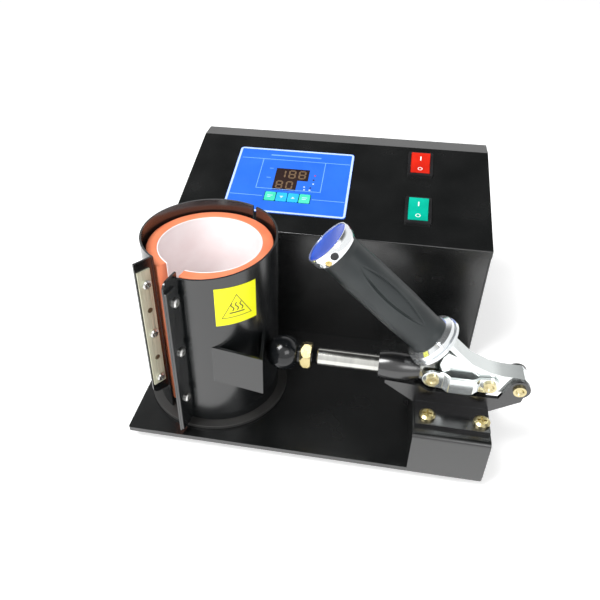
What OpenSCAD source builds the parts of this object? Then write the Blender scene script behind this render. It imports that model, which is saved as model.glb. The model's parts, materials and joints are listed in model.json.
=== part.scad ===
// Mug heat press: a split heater shell closed by a push-pull toggle clamp,
// with a sloped control box behind it, all on one steel base plate.
// Millimetres, +Z up. The front faces -Y and the clamp pushes towards -X.

/* [Base] */
// Width of the base plate and of the control box
base_w = 288; // [280:1:296]
// Depth of the base plate
base_d = 300; // [298:1:310]
// Thickness of the base plate
base_t = 4; // [3:0.5:6]
// Height of the rubber feet
foot_h = 8; // [6:1:12]
// Radius of a rubber foot
foot_r = 9; // [7:0.5:11]

/* [Control box] */
// Distance from the base's front edge to the box's front wall
case_y = 149; // [145:1:155]
// Height of the box's front wall above the base plate
case_front_h = 114.5; // [105:0.5:125]
// Height of the box's flat top strip above the base plate
case_rear_h = 150.3; // [145:0.5:155]
// Distance from the base's front edge to the flat top strip
strip_y = 274; // [268:1:280]
// Distance from the base's front edge to the back of the box
case_back = 294; // [290:1:296]
// Sheet thickness of the box
sheet_t = 1.5; // [1:0.1:2]

/* [Heater] */
// Heater centre, distance from the base's left edge
heater_x = 61.2; // [61:0.1:66]
// Heater centre, distance from the base's front edge
heater_y = 70; // [66:0.5:74]
// Outer radius of the two steel shells
shell_r = 53; // [52:0.5:53.5]
// Sheet thickness of the shells
shell_t = 1.5; // [1:0.1:2]
// Height of the shells' rim above the base plate
shell_top = 155.7; // [140:0.1:165]
// Outer radius of the silicone heater mat
mat_r = 49.4; // [48:0.1:50]
// Thickness of the silicone heater mat
mat_t = 8.4; // [6:0.1:10]
// Height of the mat's top edge above the base plate
mat_top = 145.3; // [130:0.1:150]

/* [Clamp] */
// Plunger axis, distance from the base's front edge
clamp_y = 45; // [42:0.5:48]
// Plunger axis, height above the base plate
clamp_z = 64; // [63:0.5:66]
// Distance from the base's left edge to the plunger's pivot
pivot_a = 241.5; // [240:0.5:243]
// Length of the link plates between their pivots
link_len = 42.5; // [42:0.5:44]
// Distance between the handle's two pivots
crank_len = 21.5; // [21:0.5:22]
// Radius of the plunger rod
rod_r = 7; // [6.5:0.1:7.2]
// Radius of the ball that pushes the wedge
ball_r = 14.2; // [13:0.1:14.4]
// Centre of the ball, distance from the base's left edge
ball_x = 124; // [124:0.1:126]

/* [Handle] */
// Angle of the handle below the horizontal, towards its pivot
handle_tilt = 42.7; // [40:0.1:45]
// Radius of the rubber grip
grip_r = 16; // [14:0.5:17]
// Length of the handle from its end disc to the bracket
handle_len = 118; // [117:0.5:119]

/* [Hidden] */
$fn = 64;

// Top of the base plate, and the row's origin measured from the base's front left corner
top_z = foot_h + base_t;
ear_r = 8;
pivot_b = pivot_a + link_len;
pivot_c = pivot_b + crank_len;
origin_x = (pivot_c + ear_r) / 2;
origin_y = base_d / 2;
axis_z = top_z + clamp_z;

// Angles round the heater, counter-clockwise from +X seen from above
hinge_az = 60;
notch_half = 2;
rear_end = 234;
front_end = 257;

// Sloped panel of the box
slope = atan2(case_rear_h - case_front_h, strip_y - case_y);
lip_out = 1.6;
lip_h = 7;

// Hardware
press_r = 4;
run_clear = 0.06;
m4_r = 2;
m4_hole = 2.1;

foot_inset = 24;
post_x0 = 230;
post_w = 57.5;
post_d = 90;
post_h = 37.5;
post_t = 2.5;
flange_t = 3;
bolt_x = [240.5, 281];
bolt_dy = 26;

module place() translate([-origin_x, -origin_y, 0]) children();

module round_rect(w, d, r) {
    translate([r, 0]) square([w - 2 * r, d]);
    translate([0, r]) square([w, d - 2 * r]);
    for (x = [r, w - r], y = [r, d - r]) translate([x, y]) circle(r);
}

// Extrude a side-view outline (x, z) along Y, from y0 to y0 + t
module side_plate(y0, t) translate([0, y0 + t, 0]) rotate([90, 0, 0]) linear_extrude(t) children();

// Extrude an end-view outline (y, z) along X, from x0 to x0 + w
module end_plate(x0, w) translate([x0, 0, 0]) rotate([90, 0, 90]) linear_extrude(w) children();

module rod_x(x0, len, r) translate([x0, clamp_y, axis_z]) rotate([0, 90, 0]) cylinder(h = len, r = r);

// A pin across the clamp: side-view position (x, z), from dy0 to dy1 off the clamp's plane
module pin_y(x, z, dy0, dy1, r) {
    translate([x, clamp_y + dy0, top_z + z]) rotate([-90, 0, 0]) cylinder(h = dy1 - dy0, r = r);
}

module both_sides() {
    children();
    translate([0, 2 * clamp_y, 0]) mirror([0, 1, 0]) children();
}

module on_heater(az) translate([heater_x, heater_y, 0]) rotate([0, 0, az]) children();

// A curved wall round the heater: inner radius, thickness, height above the base, angles
module arc_wall(r, t, z0, z1, a0, a1) {
    on_heater(a0) rotate_extrude(angle = a1 - a0) translate([r, top_z + z0]) square([t, z1 - z0]);
}

module on_panel(x, s) {
    translate([x, case_y, top_z + case_front_h]) rotate([slope, 0, 0]) translate([0, s, 0]) children();
}

// Pan head screw: head on z = 0 upwards, cross recess, shank downwards
module screw(head_r, head_h, shank_r, len) {
    difference() {
        union() {
            cylinder(h = head_h * 0.6, r = head_r);
            translate([0, 0, head_h * 0.6]) cylinder(h = head_h * 0.4, r1 = head_r, r2 = head_r * 0.7);
            translate([0, 0, -len]) cylinder(h = len, r = shank_r);
        }
        for (a = [0, 90]) rotate([0, 0, a]) {
            translate([-head_r * 0.55, -head_r * 0.12, head_h * 0.4])
                cube([head_r * 1.1, head_r * 0.24, head_h]);
        }
    }
}

module hex_nut(across, thick, bore) {
    difference() {
        intersection() {
            cylinder(h = thick, r = across / 2 / cos(30), $fn = 6);
            translate([0, 0, -across * 0.06]) cylinder(h = thick, r1 = across * 0.43, r2 = across * 0.6 + thick * 0.3);
            cylinder(h = thick, r1 = across * 0.6 + thick * 0.3, r2 = across * 0.5);
        }
        translate([0, 0, -1]) cylinder(h = thick + 2, r = bore);
    }
}

// ---- Base ----

// Plate left above the tapped foot holes
foot_skin = 0.8;
function foot_spots() = [for (x = [foot_inset, base_w - foot_inset], y = [foot_inset, base_d - foot_inset]) [x, y]];

tab_angles = [90, 150, 210];
tab_r = 45;
function tab_spots() = [for (a = tab_angles) [heater_x + tab_r * cos(a), heater_y + tab_r * sin(a)]];
function post_spots() = [for (x = [post_x0 + 9, post_x0 + post_w - 9], y = [26, 74]) [x, y]];
function case_spots() = [for (x = [8.5, base_w - 8.5], y = [165, 222, 280]) [x, y]];

module base_plate() {
    color([0.09, 0.09, 0.10]) place() translate([0, 0, foot_h]) difference() {
        linear_extrude(base_t) round_rect(base_w, base_d, 2);
        for (p = concat(tab_spots(), post_spots(), case_spots())) {
            translate([p[0], p[1], -1]) cylinder(h = base_t + 2, r = m4_hole);
        }
        for (p = foot_spots()) translate([p[0], p[1], -1]) cylinder(h = base_t + 1 - foot_skin, r = m4_hole);
    }
}

module rubber_feet() {
    color([0.05, 0.05, 0.05]) place() for (p = foot_spots()) translate([p[0], p[1], 0]) difference() {
        union() {
            cylinder(h = 1.5, r1 = foot_r - 0.8, r2 = foot_r);
            translate([0, 0, 1.5]) cylinder(h = foot_h - 1.5, r = foot_r);
        }
        translate([0, 0, -1]) cylinder(h = foot_h + 2, r = m4_hole);
        translate([0, 0, -1]) cylinder(h = 4.5, r = 4.6);
    }
}

module foot_screws() {
    color([0.75, 0.75, 0.7]) place() for (p = foot_spots()) {
        translate([p[0], p[1], 3.5]) mirror([0, 0, 1]) screw(4, 2.4, m4_r, foot_h - 3.5 + base_t - foot_skin - 0.3);
    }
}

module base_screws() {
    color([0.75, 0.75, 0.7]) place() for (p = concat(tab_spots(), post_spots(), case_spots())) {
        translate([p[0], p[1], foot_h]) mirror([0, 0, 1]) screw(4, 2.4, m4_r, base_t + 7.5);
    }
}

// ---- Control box ----

side_in = 1.6;

module case_side(x0, flange_x) {
    end_plate(x0, sheet_t) polygon([
        [case_y, top_z],
        [case_back - sheet_t, top_z],
        [case_back - sheet_t, top_z + case_rear_h - side_in],
        [strip_y, top_z + case_rear_h - side_in],
        [case_y, top_z + case_front_h - side_in]
    ]);
    difference() {
        translate([flange_x, case_y + 3, top_z]) cube([14, case_back - case_y - 6, sheet_t]);
        for (p = case_spots()) translate([p[0], p[1], top_z - 1]) cylinder(h = sheet_t + 2, r = m4_hole);
    }
}

module case_left() color([0.10, 0.10, 0.11]) place() case_side(0, sheet_t);

module case_right() color([0.10, 0.10, 0.11]) place() case_side(base_w - sheet_t, base_w - sheet_t - 14);

wall_w = base_w - 2 * sheet_t;
grommet_z = 24;
inlet_x = 60;
inlet_z = 34;
fuse_x = 112;

module case_front() {
    color([0.08, 0.08, 0.09]) place() difference() {
        translate([sheet_t, case_y, top_z]) cube([wall_w, sheet_t, case_front_h - side_in]);
        translate([heater_x, case_y - 1, top_z + grommet_z]) rotate([-90, 0, 0]) cylinder(h = 4, r = 6);
    }
}

module case_rear() {
    color([0.08, 0.08, 0.09]) place() difference() {
        translate([sheet_t, case_back - 2 * sheet_t, top_z]) cube([wall_w, sheet_t, case_rear_h - side_in]);
        translate([inlet_x - 14, case_back - 5, top_z + inlet_z - 10.5]) cube([28, 6, 21]);
        translate([fuse_x, case_back - 5, top_z + inlet_z]) rotate([-90, 0, 0]) cylinder(h = 6, r = 6.2);
        for (i = [0:7], j = [0, 1]) {
            translate([190 + i * 9, case_back - 5, top_z + 70 + j * 30]) cube([3, 6, 22]);
        }
        panel_screw_holes(8);
    }
}

module at_panel_screws(y) {
    for (x = [20, 144, 268]) translate([x, y, top_z + case_rear_h - 8]) rotate([-90, 0, 0]) children();
}

module panel_screw_holes(depth) at_panel_screws(case_back - depth) cylinder(h = depth + 2, r = 1.6);

// Cut-outs of the sloped panel, in its own plane: [x, s, w, d]
display_cut = [84, 51, 34.5, 33];
key_cut = [79.3, 36.2, 44.4, 12.6];
rocker_x = 211;
red_s = 87;
green_s = 23;
bezel_w = 24;
bezel_d = 34;
body_w = 21.6;
body_d = 30;

module panel_cut(c) on_panel(c[0], c[1]) translate([0, 0, -5]) cube([c[2], c[3], 12]);

function switch_cut(s) = [rocker_x + (bezel_w - body_w) / 2 - 0.2, s + (bezel_d - body_d) / 2 - 0.2,
    body_w + 0.4, body_d + 0.4];

module top_panel() {
    front_z = top_z + case_front_h - lip_out * tan(slope);
    drop = sheet_t / cos(slope);
    color([0.11, 0.11, 0.12]) place() difference() {
        end_plate(0, base_w) polygon([
            [case_y - lip_out, front_z - lip_h],
            [case_y - lip_out, front_z],
            [strip_y, top_z + case_rear_h],
            [case_back, top_z + case_rear_h],
            [case_back, top_z + case_rear_h - 14],
            [case_back - sheet_t + 0.1, top_z + case_rear_h - 14],
            [case_back - sheet_t + 0.1, top_z + case_rear_h - sheet_t],
            [strip_y + 0.2, top_z + case_rear_h - sheet_t],
            [case_y - 0.1, top_z + case_front_h - drop],
            [case_y - 0.1, front_z - lip_h]
        ]);
        panel_cut(display_cut);
        panel_cut(key_cut);
        panel_cut(switch_cut(red_s));
        panel_cut(switch_cut(green_s));
        panel_screw_holes(4);
    }
}

module panel_screws() {
    color([0.75, 0.75, 0.7]) place() at_panel_screws(case_back) screw(3, 2, 1.5, 7);
}

membrane = [43, 21, 115.5, 90.5];
membrane_t = 0.8;

module display_outline(grow) {
    translate([85 - grow, 67 - grow]) square([32.5 + 2 * grow, 16 + 2 * grow]);
    translate([85 - grow, 52 - grow]) square([22.5 + 2 * grow, 20]);
}

module control_membrane() {
    color([0.24, 0.5, 0.95]) place() on_panel(0, 0) difference() {
        linear_extrude(membrane_t) translate([membrane[0], membrane[1]]) round_rect(membrane[2], membrane[3], 3);
        translate([0, 0, -1]) linear_extrude(3) display_outline(0.15);
        translate([key_cut[0], key_cut[1], -1]) cube([key_cut[2], key_cut[3], 3]);
    }
}

module display_module() {
    color([0.05, 0.02, 0.03]) place() on_panel(0, 0) {
        translate([0, 0, -3]) linear_extrude(3 + membrane_t - 0.1) display_outline(0);
        translate([85, 52, -10.5]) cube([32.5, 31, 7.5]);
    }
}

board_z = -13.6;
key_w = 10.2;
key_d = 11.6;
key_gap = 0.8;
function key_x(i) = key_cut[0] + 0.6 + i * (key_w + key_gap);
key_s = key_cut[1] + (key_cut[3] - key_d) / 2;

module control_board() {
    color([0.1, 0.35, 0.18]) place() on_panel(0, 0) {
        translate([47, 27, board_z]) cube([107, 80, 1.6]);
        for (i = [0:3]) translate([key_x(i) + key_w / 2, key_s + key_d / 2, board_z + 1.6]) {
            translate([-3, -3, 0]) cube([6, 6, 3.5]);
            cylinder(h = 7.6, r = 1.75);
        }
        translate([85.5, 53, board_z + 1.6]) cube([31, 29, 1.5]);
        translate([128, 62, board_z + 1.6]) cube([18, 8, 3]);
        translate([52, 60, board_z + 1.6]) cube([24, 9, 3]);
        translate([60, 88, board_z - 9]) cube([70, 10, 9]);
    }
}

module board_standoffs() {
    color([0.8, 0.75, 0.5]) place() on_panel(0, 0) for (x = [50.5, 150.5], s = [31, 103]) {
        translate([x, s, board_z + 1.6]) cylinder(h = -board_z - 1.6 - sheet_t, r = 3);
    }
}

module key_cap(i, tint) {
    color(tint) place() on_panel(key_x(i), key_s) {
        translate([0, 0, -1.2]) linear_extrude(2.4) round_rect(key_w, key_d, 1.2);
        translate([key_w / 2, key_d / 2, -3.7]) cylinder(h = 2.6, r = 1.7);
    }
}

module temp_key() key_cap(0, [0.35, 0.75, 0.4]);
module time_key() key_cap(1, [0.35, 0.75, 0.85]);
module up_key() key_cap(2, [0.35, 0.75, 0.85]);
module down_key() key_cap(3, [0.35, 0.75, 0.4]);

// ---- Rocker switches ----

rocker_r = 13.4;
rocker_wide = 17.8;
rocker_slot = 18.8;
rocker_pivot = -1;
rest_tilt = 9;

module on_switch(s) on_panel(rocker_x + bezel_w / 2, s + bezel_d / 2) children();

module across_x(len, r) translate([-len / 2, 0, rocker_pivot]) rotate([0, 90, 0]) cylinder(h = len, r = r);

module switch_housing(s) {
    color([0.06, 0.06, 0.07]) place() on_switch(s) difference() {
        union() {
            translate([-bezel_w / 2, -bezel_d / 2, 0]) linear_extrude(2.2) round_rect(bezel_w, bezel_d, 2);
            translate([-body_w / 2, -body_d / 2, -22]) cube([body_w, body_d, 22.5]);
            for (x = [-5, 5], y = [-8, 0, 8]) translate([x - 3.15, y - 0.4, -30]) cube([6.3, 0.8, 8.5]);
        }
        across_x(rocker_slot, rocker_r + 0.5);
        translate([-rocker_slot / 2, -rocker_r - 0.5, rocker_pivot]) cube([rocker_slot, 2 * rocker_r + 1, 6]);
        across_x(body_w + 2, 1.5 + run_clear);
    }
}

module rocker(s, tint) {
    color(tint) place() on_switch(s) translate([0, 0, rocker_pivot]) rotate([rest_tilt, 0, 0])
        translate([0, 0, -rocker_pivot]) {
            intersection() {
                across_x(rocker_wide, rocker_r);
                translate([0, 0, rocker_pivot]) end_plate(-rocker_wide / 2, rocker_wide) polygon([
                    [-rocker_r, -7], [rocker_r, -7], [rocker_r, 5.2], [0, 2.2], [-rocker_r, 5.2]
                ]);
            }
            across_x(body_w - 0.6, 1.5);
        }
}

module red_switch() switch_housing(red_s);
module green_switch() switch_housing(green_s);
module red_rocker() rocker(red_s, [0.85, 0.12, 0.06]);
module green_rocker() rocker(green_s, [0.0, 0.62, 0.48]);

// ---- Inside the box ----

module transformer_core() {
    color([0.35, 0.35, 0.37]) place() translate([175, 205, top_z]) difference() {
        cube([48, 36, 40]);
        translate([8, -1, 8]) cube([10, 38, 24]);
        translate([30, -1, 8]) cube([10, 38, 24]);
    }
}

module transformer_coil() {
    color([0.75, 0.55, 0.2]) place() translate([175, 205, top_z]) difference() {
        translate([9, -7, 9]) cube([30, 50, 22]);
        translate([17.5, -8, 7]) cube([13, 52, 26]);
    }
    color([0.75, 0.55, 0.2]) place() translate([175, 205, top_z]) {
        translate([17.5, -7, 9]) cube([13, 6.5, 22]);
        translate([17.5, 36.5, 9]) cube([13, 6.5, 22]);
    }
}

module relay() {
    color([0.15, 0.25, 0.6]) place() translate([120, 205, top_z]) {
        cube([28, 40, 22]);
        for (x = [5, 12, 19]) translate([x, 4, 22]) cube([4, 0.8, 6]);
    }
}

module terminal_block() {
    color([0.85, 0.85, 0.8]) place() translate([45, 200, top_z]) difference() {
        cube([46, 18, 12]);
        for (i = [0:3]) translate([7 + i * 10.5, 9, 4]) cylinder(h = 10, r = 3);
    }
}

module power_inlet() {
    color([0.05, 0.05, 0.06]) place() translate([inlet_x, case_back - sheet_t, top_z + inlet_z]) {
        difference() {
            union() {
                translate([-24, 0, -14]) rotate([90, 0, 0]) mirror([0, 0, 1]) linear_extrude(2.5) round_rect(48, 28, 4);
                translate([-13.5, -20, -10]) cube([27, 21, 20]);
            }
            translate([-12, -17, -8.3]) cube([24, 22, 16.6]);
            for (x = [-20, 20]) translate([x, -1, 0]) rotate([-90, 0, 0]) cylinder(h = 5, r = 1.6);
        }
        for (x = [-7, 0, 7]) translate([x - 1, -18, x == 0 ? 0 : -4]) cube([2, 15, 4]);
        for (x = [-7, 0, 7]) translate([x - 2.4, -28, -2]) cube([4.8, 8.5, 0.8]);
    }
}

module fuse_holder() {
    color([0.06, 0.06, 0.07]) place() translate([fuse_x, case_back - sheet_t, top_z + inlet_z]) rotate([-90, 0, 0]) {
        difference() {
            cylinder(h = 4, r = 8);
            translate([-6, -0.8, 2.8]) cube([12, 1.6, 2]);
        }
        translate([0, 0, -26]) cylinder(h = 26.5, r = 6.1);
        translate([-3, -0.4, -34]) cube([6, 0.8, 8.5]);
    }
}

module lead_grommet() {
    color([0.04, 0.04, 0.04]) place() translate([heater_x, case_y + sheet_t / 2, top_z + grommet_z])
        rotate([90, 0, 0]) rotate_extrude() difference() {
            translate([3.2, -2.6]) square([4.8, 5.2]);
            translate([6, -sheet_t / 2]) square([4, sheet_t]);
        }
}

// ---- Heater ----

disc_r = 60.5;
disc_t = 3;
lead_notch_az = 118;

module insulating_disc() {
    color([0.16, 0.11, 0.08]) place() difference() {
        translate([heater_x, heater_y, top_z]) cylinder(h = disc_t, r = disc_r);
        for (p = tab_spots()) translate([p[0], p[1], top_z - 1]) cylinder(h = disc_t + 2, r = m4_hole);
    }
}

rear_z0 = disc_t;
front_z0 = disc_t + 0.6;
flange_out = 68;
rear_flange_z0 = 28;
strip_r0 = 56;
strip_w = 11;
strip_z = [38, 148];
screw_r = 60.8;
rear_screw_z = [44, 90, 136];
front_flange_out = 70;
front_flange_top = 151;
front_screw_z = [35, 83, 130];
front_strip_r0 = 58.5;
front_strip_t = 2;

// A radial flange, its gap-side face at local y = 0, outline (r, z) extruded to one side
module radial_plate(az, y0, t) on_heater(az) side_plate(y0, t) children();

module rear_flange_outline() {
    r_root = shell_r - shell_t;
    w = flange_out - r_root;
    translate([r_root, top_z + rear_flange_z0 + 6]) square([w, shell_top - rear_flange_z0 - 6]);
    translate([r_root, top_z + rear_flange_z0]) square([w - 6, 7]);
    translate([flange_out - 6, top_z + rear_flange_z0 + 6]) circle(6);
}

module rear_shell() {
    r_in = shell_r - shell_t;
    color([0.12, 0.12, 0.13]) place() difference() {
        union() {
            arc_wall(r_in, shell_t, rear_z0, shell_top, hinge_az + notch_half, rear_end + 0.5);
            radial_plate(rear_end, -shell_t, shell_t) rear_flange_outline();
        }
        for (z = rear_screw_z) on_heater(rear_end) translate([screw_r, 1, top_z + z]) rotate([90, 0, 0])
            cylinder(h = 5, r = 1.6);
        on_heater(lead_notch_az) translate([shell_r - 4, -5, top_z + rear_z0 - 1]) cube([8, 10, 13]);
    }
}

module shell_tabs() {
    color([0.6, 0.6, 0.58]) place() difference() {
        for (a = tab_angles) on_heater(a) {
            translate([39.5, -7, top_z + disc_t]) cube([shell_r - shell_t - 0.6 - 39.5, 14, 2]);
            intersection() {
                translate([46, -7, top_z + disc_t]) cube([8, 14, 5.5]);
                rotate_extrude() translate([shell_r - shell_t - 2, 0]) square([2, 40]);
            }
        }
        for (p = tab_spots()) translate([p[0], p[1], top_z]) cylinder(h = 20, r = m4_hole);
    }
}

module strip_outline() translate([strip_r0, top_z + strip_z[0]]) square([strip_w, strip_z[1] - strip_z[0]]);

module rear_strip() {
    color([0.72, 0.70, 0.64]) place() difference() {
        radial_plate(rear_end, 0, 1.2) strip_outline();
        for (z = rear_screw_z) on_heater(rear_end) translate([screw_r, 2, top_z + z]) rotate([90, 0, 0])
            cylinder(h = 5, r = 1.6);
    }
}

// A screw through a radial flange: head towards increasing angle
module flange_screw(az, r, y, z, len) {
    on_heater(az) translate([r, y, top_z + z]) rotate([-90, 0, 0]) {
        screw(3.6, 2.4, 1.5, len);
        translate([0, 0, -len + 1.2]) mirror([0, 0, 1]) translate([0, 0, -2.4]) hex_nut(5.5, 2.4, 1.5);
    }
}

module rear_strip_screws() {
    color([0.85, 0.82, 0.7]) place() for (z = rear_screw_z) {
        flange_screw(rear_end, screw_r, 1.2, z, 1.2 + shell_t + 3.6);
    }
}

mat_z0 = 9;
mat_in = mat_r - mat_t;
liner_in = mat_in - 1;

module mat_rear() color([0.85, 0.35, 0.15]) place() {
    arc_wall(mat_in, mat_t, mat_z0, mat_top, hinge_az + 0.4, rear_end - 0.5);
}

module liner_rear() color([0.95, 0.92, 0.9]) place() {
    arc_wall(liner_in, 1, mat_z0, mat_top, hinge_az + 0.4, rear_end - 0.5);
}

module mat_front() color([0.85, 0.35, 0.15]) place() {
    arc_wall(mat_in, mat_t, mat_z0, mat_top, front_end - 358.5, hinge_az - 0.4);
}

module liner_front() color([0.95, 0.92, 0.9]) place() {
    arc_wall(liner_in, 1, mat_z0, mat_top, front_end - 358.5, hinge_az - 0.4);
}

// ---- Shell hinge ----

hinge_r = 57.5;
knuckle_r = 3.5;
pin_r = 1.5;
hinge_z0 = 25;
knuckle_h = 22;
leaf_t = 1.6;
leaf_span = 13;

module on_hinge(z) on_heater(hinge_az) translate([hinge_r, 0, top_z + z]) children();

module knuckles(which) {
    for (i = [which:2:4]) on_hinge(hinge_z0 + i * knuckle_h + 0.2) cylinder(h = knuckle_h - 0.4, r = knuckle_r);
}

module hinge_leaf(which, a0, a1, bore) {
    difference() {
        union() {
            difference() {
                arc_wall(shell_r, leaf_t, hinge_z0, hinge_z0 + 5 * knuckle_h, a0, a1);
                for (i = [1 - which:2:4]) {
                    on_hinge(hinge_z0 + i * knuckle_h - 0.2) cylinder(h = knuckle_h + 0.4, r = knuckle_r + 0.5);
                }
            }
            knuckles(which);
        }
        on_hinge(hinge_z0 - 1) cylinder(h = 5 * knuckle_h + 2, r = bore);
    }
}

module fixed_leaf() color([0.1, 0.1, 0.1]) place() {
    hinge_leaf(0, hinge_az + 0.4, hinge_az + leaf_span, pin_r);
}

module moving_leaf() color([0.1, 0.1, 0.1]) place() {
    hinge_leaf(1, hinge_az - leaf_span, hinge_az - 0.4, pin_r + run_clear);
}

module hinge_pin() {
    color([0.7, 0.7, 0.7]) place() {
        on_hinge(hinge_z0) cylinder(h = 5 * knuckle_h, r = pin_r);
        on_hinge(hinge_z0 + 5 * knuckle_h) cylinder(h = 1.2, r1 = 2.6, r2 = 1.8);
    }
}

// ---- Moving shell ----

module front_flange_outline() {
    r_root = shell_r - shell_t / 2;
    w = front_flange_out - r_root;
    translate([r_root, top_z + front_z0]) square([w, front_flange_top - front_z0 - 6]);
    translate([r_root, top_z + front_z0]) square([w - 6, front_flange_top - front_z0]);
    translate([front_flange_out - 6, top_z + front_flange_top - 6]) circle(6);
}

// The front shell's rim falls by this much from the hinge to the far side
rim_fall = 10.5;

module above_front_rim() on_heater(hinge_az) translate([shell_r, 0, top_z + shell_top])
    rotate([0, -atan(rim_fall / (2 * shell_r)), 0]) translate([-150, -100, 0]) cube([200, 200, 40]);

module front_shell() {
    r_in = shell_r - shell_t;
    color([0.12, 0.12, 0.13]) place() difference() {
        union() {
            difference() {
                arc_wall(r_in, shell_t, front_z0, shell_top, front_end - 360, hinge_az - notch_half);
                above_front_rim();
            }
            radial_plate(front_end, 0, shell_t) front_flange_outline();
        }
        for (z = front_screw_z) on_heater(front_end) translate([screw_r, 6, top_z + z]) rotate([90, 0, 0])
            cylinder(h = 9, r = 1.6);
    }
}

module front_strip() {
    h = front_flange_top - 10 - front_z0;
    color([0.1, 0.1, 0.1]) place() difference() {
        radial_plate(front_end, shell_t, front_strip_t)
            translate([front_strip_r0, top_z + front_z0 + 2]) square([front_flange_out - front_strip_r0, h]);
        for (z = front_screw_z) on_heater(front_end) translate([screw_r, 6, top_z + z]) rotate([90, 0, 0])
            cylinder(h = 9, r = 1.6);
    }
}

module front_strip_screws() {
    color([0.85, 0.82, 0.7]) place() for (z = front_screw_z) {
        flange_screw(front_end, screw_r, shell_t + front_strip_t, z, shell_t + front_strip_t + 3.6);
    }
}

wedge_z = [49, 84];
wedge_apex = [72.5, 18.2];
wedge_corner = [113.9, 11];
wedge_rear = [108.5, 49];
wedge_t = 2.5;

module wedge_bracket() {
    color([0.13, 0.13, 0.14]) place() translate([0, 0, top_z + wedge_z[0]]) linear_extrude(wedge_z[1] - wedge_z[0])
        difference() {
            polygon([wedge_apex, wedge_corner, wedge_rear, [90, 49], [72.5, 30]]);
            polygon([wedge_apex + [0, wedge_t], wedge_corner + [-wedge_t, wedge_t], wedge_rear + [-wedge_t, 3], [72.5, 60]]);
            translate([heater_x, heater_y]) circle(shell_r);
        }
}

label_az = [287.6, 323.2];
label_z = [104.6, 138.2];

module heat_label() color([1, 0.95, 0.02]) place() {
    arc_wall(shell_r, 0.3, label_z[0], label_z[1], label_az[0] - 360, label_az[1] - 360);
}

// ---- Clamp ----

module post_outline(inset) {
    r = 4;
    h = post_h - inset;
    translate([inset, 0]) {
        translate([r, 0]) square([post_d - 2 * inset - r, h]);
        square([post_d - 2 * inset, h - r]);
        translate([r, h - r]) circle(r);
    }
}

module clamp_post() {
    color([0.13, 0.13, 0.14]) place() difference() {
        union() {
            difference() {
                translate([0, 0, top_z]) end_plate(post_x0, post_w) post_outline(0);
                translate([0, 0, top_z - 0.01]) end_plate(post_x0 + post_t, post_w - 2 * post_t) post_outline(post_t);
            }
            for (x = [post_x0 + 1, post_x0 + post_w - 15]) translate([x, 14, top_z]) cube([14, 68, post_t]);
        }
        for (p = post_spots()) translate([p[0], p[1], top_z - 1]) cylinder(h = 6, r = m4_hole);
        for (x = bolt_x, s = [-1, 1]) translate([x, clamp_y + s * bolt_dy, top_z + 20]) cylinder(h = 30, r = 2.6);
    }
}

web_in = 8;
web_t = 3;
barrel_x0 = 200;
barrel_x1 = 231.5;
barrel_r = 12;

module web_outline() {
    polygon([
        [206, 55], [231.5, post_h], [288, post_h + 1], [309, 52.5], [pivot_c + 5, clamp_z],
        [pivot_c - 7.5, clamp_z + 3], [292, 53], [240, 52], [233, 56], [206, 58]
    ]);
    translate([pivot_c, clamp_z]) circle(ear_r);
}

module clamp_base() {
    color([0.07, 0.07, 0.08]) place() difference() {
        union() {
            translate([231.5, clamp_y - 35, top_z + post_h]) cube([55.5, 70, flange_t]);
            both_sides() translate([0, 0, top_z]) side_plate(clamp_y - web_in - web_t, web_t) web_outline();
        }
        rod_x(barrel_x0 - 2, barrel_x1 + 2 - barrel_x0, barrel_r);
        pin_y(pivot_c, clamp_z, -20, 20, press_r);
        for (x = bolt_x, s = [-1, 1]) translate([x, clamp_y + s * bolt_dy, top_z + 30]) cylinder(h = 20, r = 2.6);
    }
}

function barrel_at(x) = barrel_r - 0.0095 * pow(x - 213, 2);

module guide_barrel() {
    steps = 12;
    d = (barrel_x1 - barrel_x0) / steps;
    color([0.06, 0.06, 0.07]) place() translate([barrel_x0, clamp_y, axis_z]) rotate([0, 90, 0]) rotate_extrude()
        polygon(concat(
            [[rod_r + 0.05, 0]],
            [for (i = [0:steps]) [barrel_at(barrel_x0 + i * d), i * d]],
            [[rod_r + 0.05, barrel_x1 - barrel_x0]]
        ));
}

module clamp_screws() {
    color([0.85, 0.8, 0.55]) place() for (x = bolt_x, s = [-1, 1]) {
        translate([x, clamp_y + s * bolt_dy, top_z + post_h + flange_t]) {
            screw(6.2, 3.2, 2.5, 11);
            translate([0, 0, -flange_t - post_t - 4]) rotate([0, 0, 30]) hex_nut(7.8, 4, 2.5);
        }
    }
}

rivet_r = 4.8;

module rivet_head(x, dy, h) {
    both_sides() difference() {
        pin_y(x, clamp_z, -dy - h, -dy, rivet_r);
        translate([x, clamp_y - dy - h - 0.01, top_z + clamp_z]) rotate([-90, 0, 0]) cylinder(h = 1.2, r1 = 3.1, r2 = 1.9);
    }
}

module pivot_pin() {
    color([0.85, 0.8, 0.7]) place() {
        pin_y(pivot_c, clamp_z, -web_in - web_t, web_in + web_t, press_r);
        rivet_head(pivot_c, web_in + web_t, 1.8);
    }
}

rod_x0 = 151.5;
// The rod's tail is flat on both sides from tail_x0 on
tail_x0 = 221;
tail_half = 5;

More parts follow.
